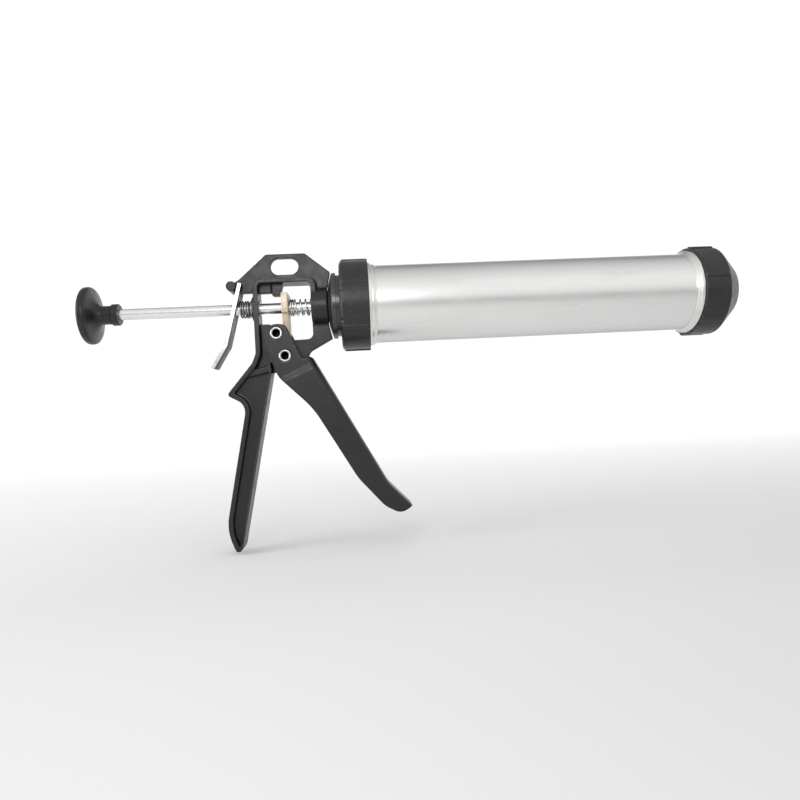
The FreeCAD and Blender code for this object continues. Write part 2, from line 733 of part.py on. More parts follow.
def frame_casting():
    body = new_body("frame_casting")
    pad(body, frame_web_corners(), "web_thickness")
    pad(body, rim_corners(), "rim_width")
    pad(body, handle_corners(), "rim_width")
    pad(body, hook_lobe_corners(), "rim_width")
    cut_through(body, window_corners(), "web_thickness + 2")
    pad(body, lug_corners(), "web_thickness + 3")
    cut_sides(body, panel_corners(), "handle_panel", "rim_width")
    cut_sides(body, band_corners(), "handle_band", "rim_width")
    cut_through(body, slot_corners(), "web_thickness + 2")
    revolve(body, [("-front_leg_back", "0"), (SPIGOT_FRONT, "0"), (SPIGOT_FRONT, "spigot_radius"),
                   (HUB_FRONT, "spigot_radius"), (HUB_FRONT, "hub_radius"),
                   ("-front_leg_back + 0.8", "hub_radius"), ("-front_leg_back", "hub_radius - 0.8")])
    revolve(body, [("-leg_back - 1.5", "0"), ("-leg_back + leg_thickness", "0"),
                   ("-leg_back + leg_thickness", "rim_width / 2"), ("-leg_back - 0.6", "rim_width / 2"),
                   ("-leg_back - 1.5", "rim_width / 2 - 0.9")])
    groove = "PartDesign::Groove"
    revolve(body, [("-front_leg_back - 1", "0"), (SPRING_SEAT, "0"), (SPRING_SEAT, SPRING_RECESS),
                   ("-front_leg_back - 1", SPRING_RECESS)], groove)
    revolve(body, [("%s - 1" % SPRING_SEAT, "0"), ("%s + 1" % SPIGOT_FRONT, "0"),
                   ("%s + 1" % SPIGOT_FRONT, BUSH_RADIUS), ("%s - 1" % SPRING_SEAT, BUSH_RADIUS)], groove)
    revolve(body, [("-leg_back - 3", "0"), ("-leg_back + leg_thickness + 1", "0"),
                   ("-leg_back + leg_thickness + 1", "%s - 1" % BUSH_RADIUS),
                   ("-leg_back - 3", "%s - 1" % BUSH_RADIUS)], groove)
    revolve(body, [(RING_BACK, "spigot_radius - groove_depth"),
                   ("%s + retaining_ring_thickness" % RING_BACK, "spigot_radius - groove_depth"),
                   ("%s + retaining_ring_thickness" % RING_BACK, "spigot_radius + 1"),
                   (RING_BACK, "spigot_radius + 1")], groove)
    pad(body, disc_corners(value("-pivot_back"), value("-pivot_drop"), value("pivot_boss_radius")),
        BOSS_WIDTH)
    round_hole(body, "-pivot_back", "-pivot_drop", "rivet_radius + pivot_clearance", "%s + 2" % BOSS_WIDTH)
    return body


def rear_rod_bush():
    """The bush that guides the rod through the rear leg, with a cone that centres the release spring."""
    sleeve = "(%s - 1)" % BUSH_RADIUS
    points = [("0", BUSH_BORE), ("leg_thickness + 4.6", BUSH_BORE), ("leg_thickness + 4.6", sleeve),
              ("2.6", sleeve), ("2.6", "%s + 1.4" % sleeve), ("2.2", "%s + 1.4" % sleeve),
              ("0.4", "%s - 0.6" % sleeve), ("0", "%s - 0.8" % sleeve)]
    return turned("rear_rod_bush", "-leg_back - 4.1", points)


def front_rod_bush():
    length = "%s - %s" % (SPIGOT_FRONT, SPRING_SEAT)
    return ring("front_rod_bush", SPRING_SEAT, length, BUSH_BORE, BUSH_RADIUS)


# ---------------------------------------------------------------- trigger


def trigger_corners():
    """The trigger's side view, clockwise from the top of its ears: about the pin, then the pivot."""
    pin_x, pin_z = value("-pin_back"), value("-pin_drop")
    x, z = value("-pivot_back"), value("-pivot_drop")
    tip = z - value("trigger_reach")
    return [(pin_x - 6.5, pin_z + 6.1, 6.2), (pin_x + 5.8, pin_z + 6.1, 5.6), (x + 11.7, z - 2.4, 1.2),
            (x + 16.3, z - 1.1, 1), (x + 18.1, z - 1.9, 0), (x + 65.3, tip + 16.4, 14), (x + 80.9, tip, 0),
            (x + 72.7, tip - 4.6, 8), (x + 62.3, tip + 0.8, 18), (x + 44.9, tip + 20.8, 40),
            (x + 17.1, z - 36.3, 60), (x - 5.3, z - 14.1, 14), (x - 12.2, z + 5.5, 18)]


def trigger_hollow():
    """The space inside the channel: open at the top and towards the handle."""
    sheet_metal = value("trigger_sheet")
    outer = trigger_corners()
    top = (outer[4][0] + 0.9, outer[4][1] - 1.2)
    knee = outer[5]
    tip = outer[6]
    along = Vector(knee[0] - top[0], knee[1] - top[1], 0).normalize()
    side = Vector(along.y, -along.x, 0) * sheet_metal
    low = Vector(tip[0] - knee[0], tip[1] - knee[1], 0).normalize()
    low_side = Vector(low.y, -low.x, 0) * sheet_metal
    start = Vector(top[0], top[1], 0) + side - along * 6
    lip = value("-pivot_drop + 0.6")
    behind = value("-leg_back - 4.3")
    return [(behind, 0, 0), (0, 0, 0), (0, lip, 0), (start.x, lip, 0), (start.x, start.y, 0),
            (knee[0] + side.x - along.x * 3, knee[1] + side.y - along.y * 3, 10),
            (tip[0] + low_side.x - 3.4, tip[1] + low_side.y + 3.0, 2), (tip[0] - 15.2, tip[1] - 11, 0),
            (behind, lip - 47.1, 0)]


def finger_edge(edge):
    """True for the long side edges of the trigger's front wall, where the fingers pull."""
    front, knee, tip = (Vector(*corner[:2], 0) for corner in trigger_corners()[4:7])
    middle = edge.valueAt((edge.FirstParameter + edge.LastParameter) / 2)
    on_side = abs(abs(middle.y) - value("%s / 2" % TRIGGER_WIDTH)) < 0.01
    spot = Vector(middle.x, middle.z, 0)
    away = min(spot.distanceToLine(front, knee - front), spot.distanceToLine(knee, tip - knee))
    return on_side and away < 0.3 and edge.Length > 3 and middle.z < front.y and middle.x < tip.x - 1


def trigger():
    body = new_body("trigger")
    pad(body, trigger_corners(), TRIGGER_WIDTH)
    round_edges(body, "trigger_edge_radius", finger_edge)
    cut_through(body, trigger_hollow(), "%s - 2 * trigger_sheet" % TRIGGER_WIDTH)
    round_hole(body, "-pivot_back", "-pivot_drop", "rivet_radius", "%s + 2" % TRIGGER_WIDTH)
    round_hole(body, "-pin_back", "-pin_drop", "rivet_radius", "%s + 2" % TRIGGER_WIDTH)
    return body


def cross_cylinder(radius, length, far_end):
    """A cylinder across the gun, tied to the sheet, that reaches back from its far end."""
    solid = doc.addObject("Part::Cylinder", "Barrel")
    bind(solid, "Radius", radius)
    bind(solid, "Height", length)
    solid.Placement = Placement(Vector(0, 0, 0), Rotation(Vector(1, 0, 0), 90))
    bind(solid, "Placement.Base.y", far_end)
    return solid


def fused(label, solids):
    whole = doc.addObject("Part::MultiFuse", label)
    whole.Shapes = solids
    return whole


def tube_rivet(label, back, drop):
    """A rivet across both ears, with a rolled head and a blind bore on each side."""
    side = "%s / 2" % TRIGGER_WIDTH
    shank = cross_cylinder("rivet_radius", TRIGGER_WIDTH, side)
    near_head = cross_cylinder("rivet_head_radius", "rivet_head", "-%s" % side)
    far_head = cross_cylinder("rivet_head_radius", "rivet_head", "%s + rivet_head" % side)
    near_bore = cross_cylinder("rivet_bore_radius", "rivet_bore_depth",
                               "-%s - rivet_head + rivet_bore_depth" % side)
    far_bore = cross_cylinder("rivet_bore_radius", "rivet_bore_depth", "%s + rivet_head" % side)
    rivet = doc.addObject("Part::Cut", label)
    rivet.Base = fused("Whole", [shank, near_head, far_head])
    rivet.Tool = fused("Bores", [near_bore, far_bore])
    return place(rivet, label, "-%s" % back, "-%s" % drop)


# ---------------------------------------------------------------- drive plate and release lever


def block(label_text, x, y, z, length, width, height):
    """A box whose corner and sides are tied to the sheet."""
    solid = doc.addObject("Part::Box", label_text)
    for prop, expression in (("Placement.Base.x", x), ("Placement.Base.y", y), ("Placement.Base.z", z),
                             ("Length", length), ("Width", width), ("Height", height)):
        bind(solid, prop, expression)
    return solid


def drive_plate():
    upper = block("Upper", "0", "-plate_half_width", "-plate_shoulder_drop", "plate_thickness",
                  "plate_half_width * 2", "plate_top + plate_shoulder_drop")
    tongue = block("Tongue", "0", "-tongue_half_width", "-tongue_drop", "plate_thickness",
                   "tongue_half_width * 2", "tongue_drop - plate_shoulder_drop")
    whole = fused("PlateBlank", [upper, tongue])
    hole = doc.addObject("Part::Cylinder", "PlateHole")
    hole.Placement = Placement(Vector(-1, 0, 0), Rotation(Vector(0, 1, 0), 90))
    bind(hole, "Radius", "rod_radius + plate_bore_clearance")
    bind(hole, "Height", "plate_thickness + 2")
    plate = doc.addObject("Part::Cut", "drive_plate")
    plate.Base = whole
    plate.Tool = hole
    return place(plate, "drive_plate", PLATE_BACK)


def lever_corners():
    """The side view of the bent lever, a strip of constant thickness."""
    slope = math.radians(value("lever_slope"))
    tip_slope = math.radians(value("lever_tip_slope"))
    thick = value("lever_thickness")
    hook_x, hook_z = value("-lever_back"), value("lever_hook_height")
    bend_z, tip_z = value("-lever_bend_drop"), value("-lever_tip_drop")
    top = (hook_x + math.tan(slope) * 2.4, hook_z + 2.4)
    bend = (hook_x + math.tan(slope) * (bend_z - hook_z), bend_z)
    tip = (bend[0] + math.tan(tip_slope) * (tip_z - bend_z), tip_z)
    across = (thick * math.cos(slope), -thick * math.sin(slope))
    tip_across = (thick * math.cos(tip_slope), -thick * math.sin(tip_slope))
    half_turn = (slope + tip_slope) / 2
    stretch = thick / math.cos((tip_slope - slope) / 2)
    bend_front = (bend[0] + stretch * math.cos(half_turn), bend[1] - stretch * math.sin(half_turn))
    return [(*top, 0.8), (top[0] + across[0], top[1] + across[1], 0.8), (*bend_front, 3),
            (tip[0] + tip_across[0], tip[1] + tip_across[1], 0.8), (*tip, 0.8), (*bend, 5.5)]


def release_lever():
    body = new_body("release_lever")
    pad(body, lever_corners(), "lever_half_width * 2")
    fork = value("web_thickness / 2 + lever_fork_gap")
    across_all = "400"
    slot = [(-fork, 9.2, 1), (-fork, 30, 0), (fork, 30, 0), (fork, 9.2, 1)]
    cut_through(body, slot, across_all, "YZ_Plane")
    hole = value("rod_radius + lever_bore_clearance")
    tall, end = hole + 0.5, hole - 0.01
    bore = [(-hole, -tall, end), (-hole, tall, end), (hole, tall, end), (hole, -tall, end)]
    cut_through(body, bore, across_all, "YZ_Plane")
    return body


def coil_spring(label, start, length, radius, wire, turns):
    """A round-wire spring about the rod's axis."""
    path = doc.addObject("Part::Helix", "Path")
    bind(path, "Radius", radius)
    bind(path, "Height", "(%s) - %s" % (length, wire))
    bind(path, "Pitch", "((%s) - %s) / %s" % (length, wire, turns))
    path.SegmentLength = TURNS_PER_EDGE
    section = doc.addObject("Part::Circle", "Section")
    bind(section, "Radius", "%s / 2" % wire)
    section.Placement = Placement(Vector(0, 0, 0), Rotation(Vector(1, 0, 0), 90))
    bind(section, "Placement.Base.x", radius)
    doc.recompute()
    sweep = doc.addObject("Part::Sweep", label)
    sweep.Sections = [section]
    sweep.Spine = (path, ["Edge%d" % (index + 1) for index in range(len(path.Shape.Edges))])
    sweep.Solid = True
    sweep.Frenet = True
    sweep.Placement = Placement(Vector(0, 0, 0), Rotation(Vector(0, 1, 0), 90))
    return place(sweep, label, "%s + %s / 2" % (start, wire))


def drive_spring():
    start = "(%s + plate_thickness + spring_end_gap)" % PLATE_BACK
    length = "%s - %s - spring_end_gap" % (SPRING_SEAT, start)
    return coil_spring("drive_spring", start, length, DRIVE_SPRING_RADIUS, "drive_spring_wire",
                       "drive_spring_turns")


def release_spring():
    slope = math.radians(value("lever_slope"))
    lever_front = ("(-lever_back + lever_thickness / %.5f - (lever_hook_height - %s) * %.5f)"
                   % (math.cos(slope), "(%s + release_spring_wire / 2)" % RELEASE_SPRING_RADIUS,
                      math.tan(slope)))
    start = "(%s + spring_end_gap)" % lever_front
    length = "-leg_back - 3.3 - %s - spring_end_gap" % start
    return coil_spring("release_spring", start, length, RELEASE_SPRING_RADIUS, "release_spring_wire",
                       "release_spring_turns")


def build_all():
    makers = (frame_casting, rear_rod_bush, front_rod_bush, drive_plate, drive_spring, release_lever,
              release_spring, trigger, push_rod, pull_knob, knob_end_cap, piston_back_washer, piston_seal,
              piston_disc, piston_front_washer, piston_nut, swivel_flange, barrel_seat_plate, seat_lock_nut,
              thrust_washer, retaining_ring, barrel_tube, rear_thread_collar, front_thread_collar, rear_cap,
              front_cap, nozzle_seat_ring)
    for make in makers:
        make()
    tube_rivet("trigger_pivot_rivet", "pivot_back", "pivot_drop")
    tube_rivet("drive_pin_rivet", "pin_back", "pin_drop")
    doc.recompute()


def check_and_write():
    """Stops on any failed object, then writes one STEP file per piece."""
    for thing in doc.Objects:
        assert not {"Invalid", "Error"} & set(thing.State), "%s failed" % thing.Label
    for piece in final_pieces:
        assert not piece.Shape.isNull() and piece.Shape.isValid(), "%s has a bad shape" % piece.Label
        assert len(piece.Shape.Solids) == 1, "%s is not one solid" % piece.Label
    os.makedirs("parts", exist_ok=True)
    for piece in final_pieces:
        piece.Shape.exportStep("parts/%s.step" % piece.Label)
        box = piece.Shape.BoundBox
        print("%-22s %8.2f cm3  x %.1f..%.1f  z %.1f..%.1f" % (
            piece.Label, piece.Shape.Volume / 1000, box.XMin, box.XMax, box.ZMin, box.ZMax))


build_all()
check_and_write()
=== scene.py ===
import json
import math

import bpy
import bmesh
from mathutils import Matrix, Vector

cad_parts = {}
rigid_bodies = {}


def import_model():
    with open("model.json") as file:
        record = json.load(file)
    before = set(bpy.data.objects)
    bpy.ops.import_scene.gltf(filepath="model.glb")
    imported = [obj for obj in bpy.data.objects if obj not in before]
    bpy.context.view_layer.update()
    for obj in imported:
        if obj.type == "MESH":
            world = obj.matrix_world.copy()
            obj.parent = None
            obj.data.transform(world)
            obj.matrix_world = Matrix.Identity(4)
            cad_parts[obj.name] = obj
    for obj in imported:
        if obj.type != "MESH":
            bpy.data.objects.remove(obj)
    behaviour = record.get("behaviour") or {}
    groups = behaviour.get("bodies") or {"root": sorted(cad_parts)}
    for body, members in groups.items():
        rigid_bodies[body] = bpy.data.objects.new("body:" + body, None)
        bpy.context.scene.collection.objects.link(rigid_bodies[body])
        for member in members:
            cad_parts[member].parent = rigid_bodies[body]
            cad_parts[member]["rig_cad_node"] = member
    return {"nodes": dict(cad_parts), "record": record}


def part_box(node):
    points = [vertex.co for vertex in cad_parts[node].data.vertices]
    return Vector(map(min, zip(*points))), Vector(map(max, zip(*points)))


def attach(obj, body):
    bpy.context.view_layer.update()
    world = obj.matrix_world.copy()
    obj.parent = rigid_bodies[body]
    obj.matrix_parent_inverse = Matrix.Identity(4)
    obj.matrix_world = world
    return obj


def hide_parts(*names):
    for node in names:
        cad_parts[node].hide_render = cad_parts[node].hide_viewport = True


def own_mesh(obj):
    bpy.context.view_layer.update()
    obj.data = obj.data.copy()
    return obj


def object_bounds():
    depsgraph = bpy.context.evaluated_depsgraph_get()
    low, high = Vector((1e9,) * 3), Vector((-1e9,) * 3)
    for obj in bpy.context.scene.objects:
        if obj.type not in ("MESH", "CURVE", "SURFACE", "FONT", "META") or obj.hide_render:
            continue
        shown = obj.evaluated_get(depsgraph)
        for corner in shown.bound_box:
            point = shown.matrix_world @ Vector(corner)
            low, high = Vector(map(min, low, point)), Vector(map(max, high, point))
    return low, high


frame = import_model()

# Looks of the caulking gun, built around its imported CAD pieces.  Metres; the rod runs along X.
MM = 0.001
ALONG_ROD = (0.03, 1, 1)
# Painted shade for the rivet bores.
BORE_SHADE = (0.006, 0.006, 0.006)
WELD_GAP = 0.002 * MM
ON_AXIS = 0.02 * MM
cad_low, cad_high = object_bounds()
NODE = frame["nodes"]
BODY_OF = {name: body for body, names in frame["record"]["behaviour"]["bodies"].items() for name in names}
SLOT_OF = {part["node"]: part["material_slot"] for part in frame["record"]["subparts"]}


# ---------------------------------------------------------------- material tools


class Look:
    """A material under construction: its nodes, its principled shader and its object coordinates."""

    def __init__(self, name, colour, roughness, metallic=0.0, specular=0.5):
        self.material = bpy.data.materials.new(name)
        self.material.use_nodes = True
        self.tree = self.material.node_tree
        self.shader = self.tree.nodes["Principled BSDF"]
        self.shader.inputs["Base Color"].default_value = (*colour, 1)
        self.shader.inputs["Roughness"].default_value = roughness
        self.shader.inputs["Metallic"].default_value = metallic
        self.shader.inputs["Specular IOR Level"].default_value = specular
        self.place = self.add("ShaderNodeTexCoord").outputs["Object"]
        self.height = None

    def add(self, kind, **values):
        node = self.tree.nodes.new(kind)
        for key, value in values.items():
            setattr(node, key, value)
        return node

    def link(self, source, target):
        self.tree.links.new(source, target)

    def stretched(self, factors):
        """Object coordinates scaled by one factor for each axis."""
        mapping = self.add("ShaderNodeMapping")
        mapping.inputs["Scale"].default_value = factors
        self.link(self.place, mapping.inputs["Vector"])
        return mapping.outputs["Vector"]

    def noise(self, scale, detail=3.0, factors=None, rough=0.5):
        """Soft noise; the scale is in cells per metre, and the factors stretch it along the axes."""
        node = self.add("ShaderNodeTexNoise")
        node.inputs["Scale"].default_value = scale
        node.inputs["Detail"].default_value = detail
        node.inputs["Roughness"].default_value = rough
        self.link(self.stretched(factors) if factors else self.place, node.inputs["Vector"])
        return node.outputs["Fac"]

    def specks(self, scale, size):
        """Small sparse dots: 1 inside a dot and 0 elsewhere."""
        solid_share = 0.4
        cells = self.add("ShaderNodeTexVoronoi")
        cells.inputs["Scale"].default_value = scale
        self.link(self.place, cells.inputs["Vector"])
        return self.spread(cells.outputs["Distance"], size * solid_share, size, 1.0, 0.0)

    def spread(self, source, low, high, to_low, to_high):
        """Maps one range onto another and clamps it."""
        node = self.add("ShaderNodeMapRange")
        for key, value in (("From Min", low), ("From Max", high), ("To Min", to_low), ("To Max", to_high)):
            node.inputs[key].default_value = value
        self.link(source, node.inputs["Value"])
        return node.outputs["Result"]

    def tint(self, source, low, high, colour):
        """Blends the colour so far towards another one as the source goes from low to high."""
        mix = self.add("ShaderNodeMix", data_type="RGBA")
        self.link(self.spread(source, low, high, 0, 1), mix.inputs["Factor"])
        base = self.shader.inputs["Base Color"]
        if base.is_linked:
            self.link(base.links[0].from_socket, mix.inputs["A"])
        else:
            mix.inputs["A"].default_value = base.default_value
        mix.inputs["B"].default_value = (*colour, 1)
        self.link(mix.outputs["Result"], base)

    def vary_roughness(self, source, low, high, to_low, to_high):
        self.link(self.spread(source, low, high, to_low, to_high), self.shader.inputs["Roughness"])

    def bump(self, source, strength, distance):
        """Adds one layer of relief, on top of the layers before it."""
        node = self.add("ShaderNodeBump")
        node.inputs["Strength"].default_value = strength
        node.inputs["Distance"].default_value = distance
        self.link(source, node.inputs["Height"])
        if self.height is not None:
            self.link(self.height, node.inputs["Normal"])
        self.height = node.outputs["Normal"]
        self.link(self.height, self.shader.inputs["Normal"])

    def masked(self, source, axis, low, high):
        """0 where a vector's size along one axis is below the low value, and 1 above the high one."""
        split = self.add("ShaderNodeSeparateXYZ")
        self.link(source, split.inputs["Vector"])
        size = self.add("ShaderNodeMath", operation="ABSOLUTE")
        self.link(split.outputs[axis], size.inputs[0])
        return self.spread(size.outputs["Value"], low, high, 0.0, 1.0)

    def edge_wear(self, low, high, colour):
        """Lightens the sharp outer edges, where paint rubs thin."""
        edges = self.add("ShaderNodeNewGeometry").outputs["Pointiness"]
        self.tint(edges, low, high, colour)


def scaled(colour, factor):
    return tuple(channel * factor for channel in colour)


def powder_coat(name, colour, roughness, specular=0.5):
    """Satin paint over a casting or a pressing: orange peel, fine grit, dust and rubbed edges."""
    look = Look(name, colour, roughness, specular=specular)
    look.tint(look.noise(38, 4), 0.35, 0.75, scaled(colour, 1.4))
    look.tint(look.noise(900, 2), 0.62, 0.8, scaled(colour, 2.0))
    look.edge_wear(0.53, 0.6, scaled(colour, 4.0))
    look.vary_roughness(look.noise(160, 3), 0.3, 0.7, roughness - 0.05, roughness + 0.07)
    look.bump(look.noise(650, 2), 0.18, 0.0001)
    look.bump(look.noise(2600, 2), 0.12, 0.00004)
    return look.material


def moulded_plastic(name, colour, roughness, speck_colour):
    """Grained black plastic with a few pale dust specks."""
    look = Look(name, colour, roughness)
    look.tint(look.noise(70, 3), 0.35, 0.7, scaled(colour, 1.3))
    look.tint(look.specks(420, 0.16), 0.2, 0.9, speck_colour)
    look.vary_roughness(look.noise(220, 3), 0.3, 0.7, roughness - 0.06, roughness + 0.07)
    look.bump(look.noise(1900, 3), 0.3, 0.00006)
    return look.material


def drawn_aluminium(name, colour, roughness):
    """Extruded tube: fine lines along its length, soft mottling and a few handling marks."""
    look = Look(name, colour, roughness, metallic=1.0)
    look.shader.inputs["Specular Tint"].default_value = (0.55, 0.56, 0.57, 1)
    mottle = look.noise(26, 4, (0.35, 1, 1))
    look.tint(mottle, 0.4, 0.75, scaled(colour, 0.94))
    look.tint(look.noise(140, 3, (0.25, 1, 1)), 0.6, 0.85, scaled(colour, 0.88))
    lines = look.noise(1500, 3, (0.012, 1, 1), 0.6)
    look.vary_roughness(look.noise(60, 4, (0.3, 1, 1)), 0.3, 0.7, roughness - 0.05, roughness + 0.06)
    look.bump(lines, 0.12, 0.00005)
    look.bump(look.noise(520, 3), 0.06, 0.00006)
    return look.material


def plated_look(name, colour, roughness, along, metallic, stain):
    """Zinc-plated or bright steel: brushed along one axis, with dull patches and faint stains."""
    look = Look(name, colour, roughness, metallic=metallic)
    look.shader.inputs["Specular Tint"].default_value = (0.75, 0.76, 0.78, 1)
    look.tint(look.noise(110, 4), 0.55, 0.85, stain)
    look.vary_roughness(look.noise(300, 3), 0.3, 0.7, max(roughness - 0.05, 0.05), roughness + 0.07)
    look.bump(look.noise(1400, 3, along), 0.08, 0.00003)
    return look


def plated_steel(name, colour, roughness, along=(1, 1, 1), metallic=1.0, stain=(0.45, 0.42, 0.38)):
    return plated_look(name, colour, roughness, along, metallic, stain).material


def sheared_strip(name, edge_colour, shaded_face_colour, roughness):
    """Plated strip cut in a press: bright sheared edges, and flat faces painted dark as shade."""
    look = plated_look(name, edge_colour, roughness, (1, 1, 0.05), 1.0, (0.6, 0.61, 0.6))
    facing = look.add("ShaderNodeNewGeometry").outputs["True Normal"]
    # Painted shade: surfaces that do not face along Y take the dark face colour.
    look.tint(look.masked(facing, "Y", 0.5, 0.8), 1.0, 0.0, shaded_face_colour)
    return look.material


def rolled_rivet(name, colour, roughness, bore_top):
    """Bright rivet with painted shade in its bores below the rolled lip."""
    look = plated_look(name, colour, roughness, (1, 1, 1), 1.0, (0.4, 0.4, 0.39))
    # Painted shade: the bore goes dark below the rolled lip.
    look.tint(look.masked(look.place, "Y", bore_top - 1.0 * MM, bore_top), 1.0, 0.0, BORE_SHADE)
    return look.material


def rubber(name, colour, roughness):
    look = Look(name, colour, roughness, specular=0.3)
    look.tint(look.noise(90, 3), 0.4, 0.75, scaled(colour, 1.5))
    look.vary_roughness(look.noise(400, 2), 0.3, 0.7, roughness - 0.05, roughness + 0.05)
    look.bump(look.noise(1200, 3), 0.3, 0.00008)
    return look.material


RIVET_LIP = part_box("trigger_pivot_rivet")[1].y - 1.5 * MM
MATERIAL = {
    "frame_black": powder_coat("frame_coat", (0.009, 0.0094, 0.0096), 0.36),
    "trigger_black": powder_coat("trigger_coat", (0.008, 0.0082, 0.0088), 0.35),
    "flange_black": powder_coat("flange_coat", (0.014, 0.014, 0.016), 0.25, 0.9),
    "rivet_steel": rolled_rivet("rivet_metal", (0.62, 0.62, 0.60), 0.24, RIVET_LIP),
    "zinc_steel": plated_steel("zinc_metal", (0.66, 0.67, 0.66), 0.32),
    "rod_zinc": plated_steel("rod_metal", (0.86, 0.88, 0.87), 0.2, along=ALONG_ROD, metallic=0.9,
                             stain=(0.76, 0.79, 0.77)),
    "lever_zinc": sheared_strip("lever_metal", (0.84, 0.85, 0.84), (0.05, 0.055, 0.055), 0.32),
    "drive_plate_steel": plated_steel("plate_metal", (0.60, 0.52, 0.40), 0.40, along=(0.08, 1, 1),
                                      metallic=0.55, stain=(0.50, 0.41, 0.30)),
    "spring_steel_bright": plated_steel("bright_wire", (0.82, 0.83, 0.83), 0.2),
    "spring_steel_dark": plated_steel("dark_wire", (0.34, 0.35, 0.35), 0.26, stain=(0.12, 0.12, 0.12)),
    "knob_plastic": moulded_plastic("knob_black", (0.007, 0.007, 0.008), 0.34, (0.03, 0.03, 0.03)),
    "knob_cap_plastic": moulded_plastic("knob_cap_pale", (0.72, 0.72, 0.74), 0.28, (0.6, 0.6, 0.6)),
    "cap_plastic": moulded_plastic("cap_black", (0.014, 0.0147, 0.0154), 0.36, (0.10, 0.10, 0.095)),
    "seat_ring_plastic": moulded_plastic("seat_ring_grey", (0.10, 0.10, 0.11), 0.5, (0.2, 0.2, 0.2)),
    "seal_rubber": rubber("seal_black", (0.018, 0.018, 0.018), 0.62),
    "piston_plastic": moulded_plastic("piston_grey", (0.32, 0.32, 0.31), 0.5, (0.5, 0.5, 0.48)),
    "barrel_aluminium": drawn_aluminium("barrel_metal", (0.91, 0.91, 0.90), 0.3),
    "collar_aluminium": plated_steel("collar_metal", (0.88, 0.86, 0.82), 0.3, stain=(0.72, 0.69, 0.64)),
}


def paint(piece, slot_name):
    """Gives a piece the finish of its record slot."""
    piece.data.materials.clear()
    piece.data.materials.append(MATERIAL[slot_name])


# ---------------------------------------------------------------- mesh tools


def new_piece(name, mesh, node):
    """Links a mesh as a piece that stands for a CAD node and rides on that node's body."""
    piece = bpy.data.objects.new(name, mesh)
    bpy.context.scene.collection.objects.link(piece)
    paint(piece, SLOT_OF[node])
    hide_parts(node)
    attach(piece, BODY_OF[node])
    return piece


def smooth_shaded(mesh, sharp_degrees=35.0):
    for face in mesh.polygons:
        face.use_smooth = True
    mesh.set_sharp_from_angle(angle=math.radians(sharp_degrees))
    return mesh


def grid_mesh(name, rows, close_rows=True, sharp_degrees=35.0):
    """A closed skin over rows of points; every row is a closed ring of the same length."""
    mesh = bpy.data.meshes.new(name)
    across = len(rows[0])
    points = [point for row in rows for point in row]
    last = len(rows) if close_rows else len(rows) - 1
    faces = []
    for i in range(last):
        j = (i + 1) % len(rows)
        for k in range(across):
            n = (k + 1) % across
            faces.append((i * across + k, i * across + n, j * across + n, j * across + k))
    if not close_rows:
        faces.append(tuple(range(across))[::-1])
        faces.append(tuple((len(rows) - 1) * across + k for k in range(across)))
    mesh.from_pydata(points, [], faces)
    mesh.validate()
    body = bmesh.new()
    body.from_mesh(mesh)
    bmesh.ops.recalc_face_normals(body, faces=body.faces)
    body.to_mesh(mesh)
    body.free()
    return smooth_shaded(mesh, sharp_degrees)


def lathe(name, profile, segments=96, wobble=None, sharp_degrees=35.0):
    """Turns a closed loop of (x, radius) points about X.  wobble(x, radius, angle) gives a new radius."""
    rows = []
    for x, radius in profile:
        row = []
        for k in range(segments):
            angle = 2 * math.pi * k / segments
            r = wobble(x, radius, angle) if wobble else radius
            row.append((x, -r * math.cos(angle), r * math.sin(angle)))
        rows.append(row)
    return grid_mesh(name, rows, True, sharp_degrees)


def arc_points(centre_x, centre_r, radius, start, end, count):
    """Points of a round corner in a lathe outline; angles in degrees, 0 along +X, 90 outward."""
    points = []
    for step in range(count + 1):
        angle = math.radians(start + (end - start) * step / count)
        points.append((centre_x + radius * math.cos(angle), centre_r + radius * math.sin(angle)))
    return points


def softened(node, voxel, passes, keep=1.0):
    """A copy of a CAD node's mesh whose sharp edges are rounded, as casting and paint leave them."""
    mesh = NODE[node].data.copy()
    work = bpy.data.objects.new("work", mesh)
    bpy.context.scene.collection.objects.link(work)
    welded = bmesh.new()
    welded.from_mesh(mesh)
    bmesh.ops.remove_doubles(welded, verts=welded.verts, dist=WELD_GAP)
    welded.to_mesh(mesh)
    welded.free()
    remesh = work.modifiers.new("Remesh", "REMESH")
    remesh.mode = "VOXEL"
    remesh.voxel_size = voxel
    smooth = work.modifiers.new("Smooth", "SMOOTH")
    smooth.factor = 0.5
    smooth.iterations = passes
    if keep < 1:
        thin = work.modifiers.new("Thin", "DECIMATE")
        thin.ratio = keep
    bpy.context.view_layer.update()
    made = bpy.data.meshes.new_from_object(work.evaluated_get(bpy.context.evaluated_depsgraph_get()))
    bpy.data.objects.remove(work)
    for face in made.polygons:
        face.use_smooth = True
    return made


def rounded_edges(node, width):
    """A copy of a CAD node's mesh with clean flat faces and a small round along its sharp edges."""
    mesh = NODE[node].data.copy()
    clean = bmesh.new()
    clean.from_mesh(mesh)
    bmesh.ops.remove_doubles(clean, verts=clean.verts, dist=WELD_GAP)
    bmesh.ops.dissolve_limit(clean, angle_limit=math.radians(2), verts=clean.verts, edges=clean.edges)
    clean.to_mesh(mesh)
    clean.free()
    work = bpy.data.objects.new("work", mesh)
    bpy.context.scene.collection.objects.link(work)
    bevel = work.modifiers.new("Bevel", "BEVEL")
    bevel.width = width
    bevel.segments = 3
    bevel.limit_method = "ANGLE"
    bevel.angle_limit = math.radians(40)
    bpy.context.view_layer.update()
    made = bpy.data.meshes.new_from_object(work.evaluated_get(bpy.context.evaluated_depsgraph_get()))
    bpy.data.objects.remove(work)
    return smooth_shaded(made)


